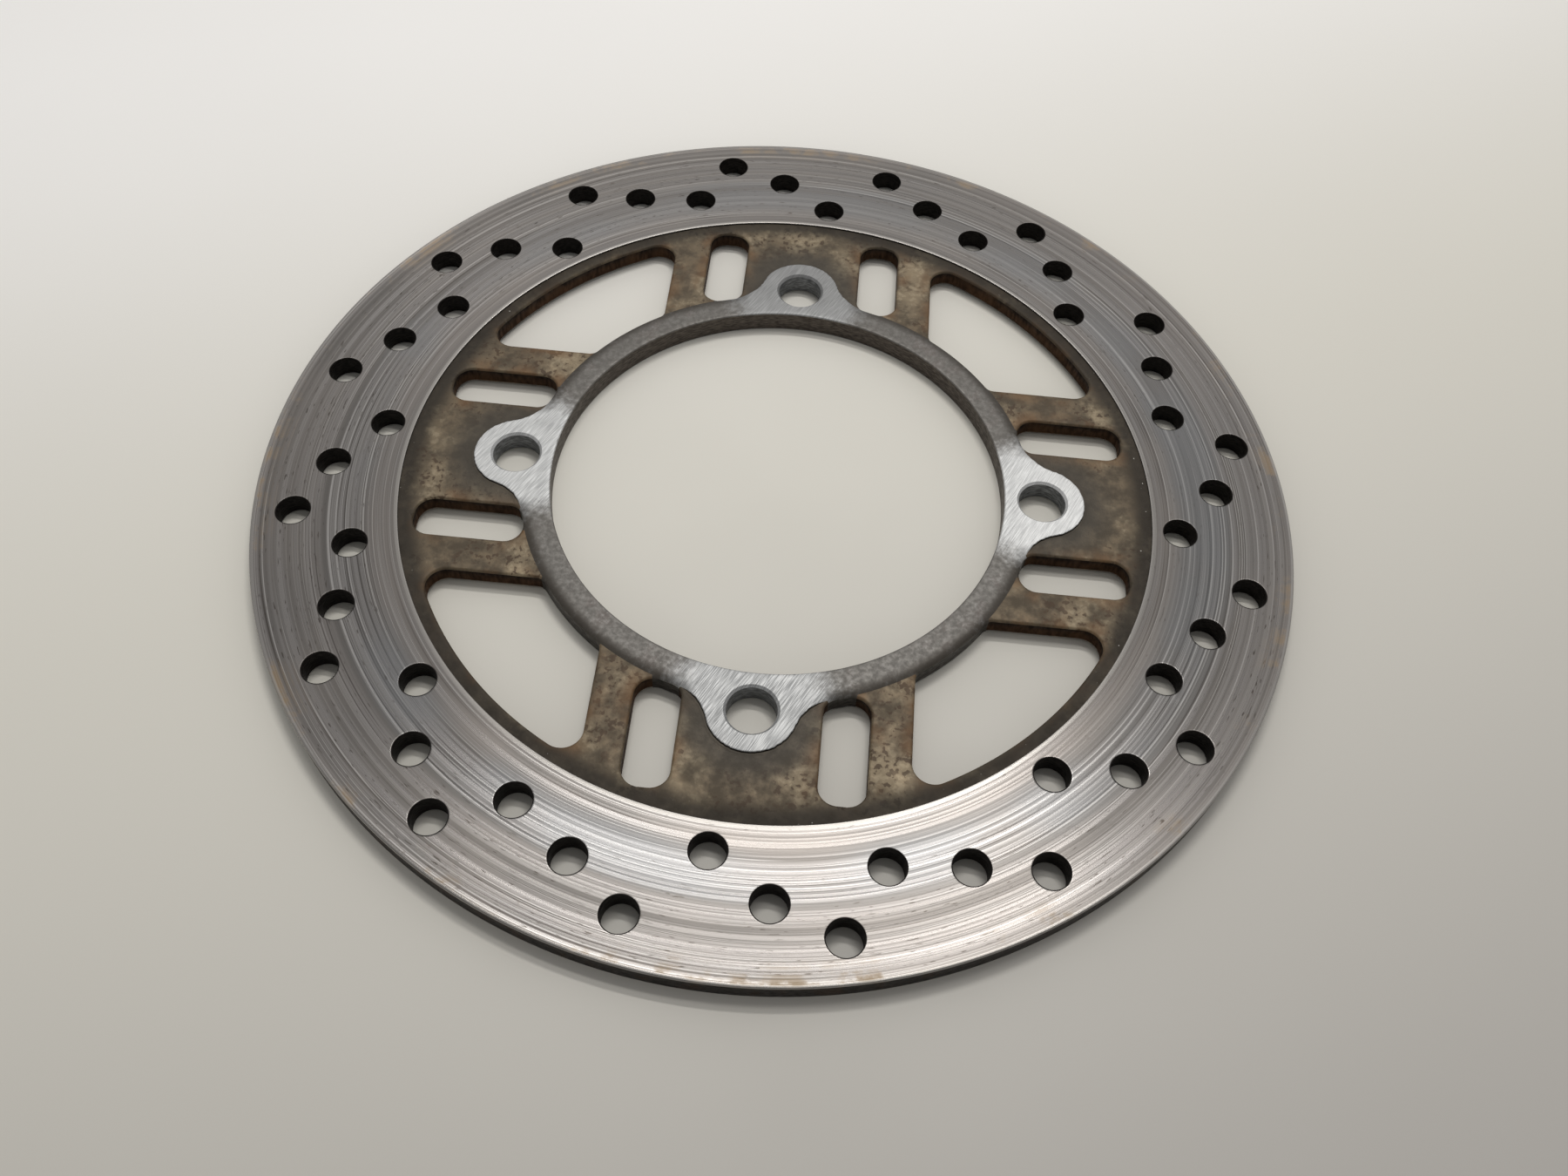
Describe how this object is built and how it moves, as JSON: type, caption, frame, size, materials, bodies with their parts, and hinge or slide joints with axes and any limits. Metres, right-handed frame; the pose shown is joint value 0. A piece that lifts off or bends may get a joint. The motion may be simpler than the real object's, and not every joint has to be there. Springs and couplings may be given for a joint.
{
  "type": "brake disc rotor",
  "caption": "Flat steel brake disc with a drilled braking band, slotted webs around open windows and a bored hub flange with bolt lugs.",
  "frame": {"origin": "centre of the bore, on the face of the flange that bolts to the wheel hub", "axes": "+Z along the disc's axis, out of the wheel; +X and +Y each pass through the middle of a bolt lug"},
  "size_m": [0.23, 0.23, 0.0053],
  "materials": {
    "ground_band": "ground, polished by the pads in fine rings",
    "oxidised_steel": "matt brown oxide with light rust",
    "flange_steel": "linished lugs on a dull grey ring"
  },
  "bodies": {
    "root": {"braking_band": "ground_band", "inner_rim": "oxidised_steel", "web_top": "oxidised_steel", "web_right": "oxidised_steel", "web_bottom": "oxidised_steel", "web_left": "oxidised_steel", "hub_flange": "flange_steel"}
  },
  "joints": []
}
